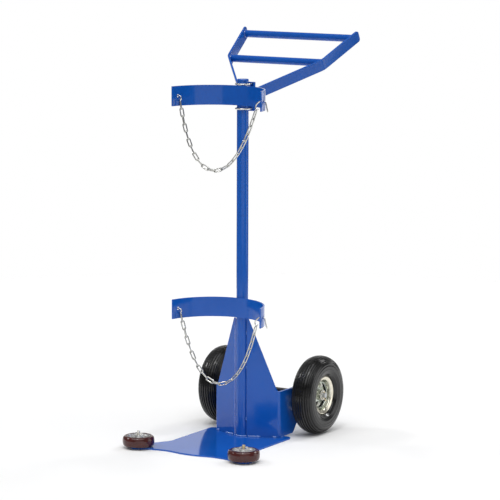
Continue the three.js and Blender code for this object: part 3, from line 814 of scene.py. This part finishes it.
def weld(name, beads):
    """One piece out of beads [(path, radius in mm)]."""
    parts = [bead(path, r * MM, FIRST_SEED + i) for i, (path, r) in enumerate(beads)]
    piece(name, *gathered(parts), WELD, "frame")


def mm(*points):
    """Points given in mm, in metres."""
    return [Vector(p) * MM for p in points]


def ring(centre, radius, u, v):
    """A full circle in the plane of the unit vectors u and v; centre and radius in mm."""
    steps = 48
    c, u, v = Vector(centre) * MM, Vector(u), Vector(v)
    turns = [2 * math.pi * i / steps for i in range(steps + 1)]
    return [c + (u * math.cos(t) + v * math.sin(t)) * radius * MM for t in turns]


PLATE_TOP = 5.0
FLANGE_X = 121.5                                               # the flanges' outer faces
WING_START = Vector((23.4, -9.4, 0))                           # the folded plates' corner beside the mast


def along_wing(k, s0, s1, off):
    """A line at the foot of a wing, from s0 to s1 mm out from its inner edge, off mm in front of it."""
    steps = 6
    line = []
    for i in range(steps + 1):
        p = WING_START + WING_ALONG * (s0 + (s1 - s0) * i / steps) + WING_OUT * off
        line.append(Vector((k * p.x, p.y, PLATE_TOP + 1.0)) * MM)
    return line


def plate_feet():
    """Round the mast's foot, in front of and behind each folded plate, and beside its flange."""
    beads = [(ring((0, 0, PLATE_TOP + 1.2), 20.8, (1, 0, 0), (0, 1, 0)), 3.8)]
    for _, k in SIDES:
        for s0, s1 in ((4, 46), (84, 98)):
            beads.append((along_wing(k, s0, s1, 1.4), 4.6))
            beads.append((along_wing(k, s0 + 4, s1, -7.0), 3.0))
        for x in (FLANGE_X + 1.0, FLANGE_X - 7.0):
            beads.append((mm((k * x, 44, PLATE_TOP + 0.8), (k * x, 60, PLATE_TOP + 0.8)), 3.0))
    return beads


def mast_uprights():
    """Behind the wings a full bead on each side; in front only tacks, and none on the left."""
    beads = [(mm((20.6, -8.8, z0), (20.6, -8.8, z0 + 11)), 2.6) for z0 in (58, 226, 340)]
    for _, k in SIDES:
        beads.append((mm((k * 20.2, -2.6, 9), (k * 20.2, -2.6, 388)), 2.6))
    return beads


TILT = math.radians(26.77)                                     # the handle's slope
HANDLE_Y, HANDLE_Z = 24.0, 1110.7                              # where its middle line starts
BEND_X, BEND_ALONG = 172.8, 205.8                              # where each handle bar bends
FOOT_SLOPE = math.tan(math.radians(36.96))                     # how the bars spread below the bend
GRIP_SLOPE = math.tan(math.radians(10.94))                     # and above it
CROSSBARS = (215.4, 373.4)                                     # along the slope
CROSSBAR_RING = 12.8
BRACKET_FACE = 2.6                                             # the bracket's back face, behind that start


def on_handle(x, along, up):
    """A point of the tilted handle: across, up the slope and square to the slope, in mm."""
    return Vector((x, HANDLE_Y + along * math.cos(TILT) - up * math.sin(TILT),
                   HANDLE_Z + along * math.sin(TILT) + up * math.cos(TILT))) * MM


def handle_joints():
    """A bead round each crossbar end, and one on both faces of each bar where it meets the bracket."""
    beads = []
    for _, k in SIDES:
        for along in CROSSBARS:
            x = BEND_X + (along - BEND_ALONG) * GRIP_SLOPE - 0.8
            turns = [2 * math.pi * i / 36 for i in range(37)]
            spots = [(CROSSBAR_RING * math.sin(t), CROSSBAR_RING * math.cos(t)) for t in turns]
            line = [on_handle(k * (x + run * GRIP_SLOPE), along + run, up) for run, up in spots]
            beads.append((line, 2.2))
        for out in (-0.8, 8.6):
            line = []
            for i in range(9):
                up = -17.0 + 34.0 * i / 8
                along = (BRACKET_FACE + up * math.sin(TILT)) / math.cos(TILT)
                line.append(on_handle(k * (BEND_X + (along - BEND_ALONG) * FOOT_SLOPE + out), along, up))
            beads.append((line, 2.4))
    return beads


weld("weld_plate_feet", plate_feet())
weld("weld_plate_to_mast", mast_uprights())
weld("weld_handle", handle_joints())
weld("weld_axle", [(ring((k * (FLANGE_X - 6.7), AXLE_Y / MM, AXLE_Z / MM), 9.6, (0, 1, 0), (0, 0, 1)), 2.2)
                   for _, k in SIDES])
for level, z in BAND_Z.items():
    weld(f"weld_{level}_band",
         [(mm((k * 9.6, -17.6, z - 28), (k * 9.6, -17.6, z + 28)), 2.7) for _, k in SIDES])


# ---- floor -------------------------------------------------------------------------------------------

FLOOR_RINGS, FLOOR_SIDES = (0.8, 1.6, 2.5, FLOOR_RADIUS), 64


def make_floor():
    verts = [Vector((0, 0, 0))]
    for r in FLOOR_RINGS:
        turns = [2 * math.pi * i / FLOOR_SIDES for i in range(FLOOR_SIDES)]
        verts += [Vector((r * math.cos(a), r * math.sin(a), 0)) for a in turns]
    faces = []
    for i in range(FLOOR_SIDES):
        k = (i + 1) % FLOOR_SIDES
        faces.append((0, 1 + i, 1 + k))
        for j in range(len(FLOOR_RINGS) - 1):
            a, b = 1 + j * FLOOR_SIDES, 1 + (j + 1) * FLOOR_SIDES
            faces.append((a + i, b + i, b + k, a + k))
    mesh = bpy.data.meshes.new("floor")
    mesh.from_pydata([tuple(v) for v in verts], [], faces)
    tidy_normals(mesh)
    mesh.materials.append(floor_paint())
    obj = bpy.data.objects.new("floor", mesh)
    scene.collection.objects.link(obj)


make_floor()
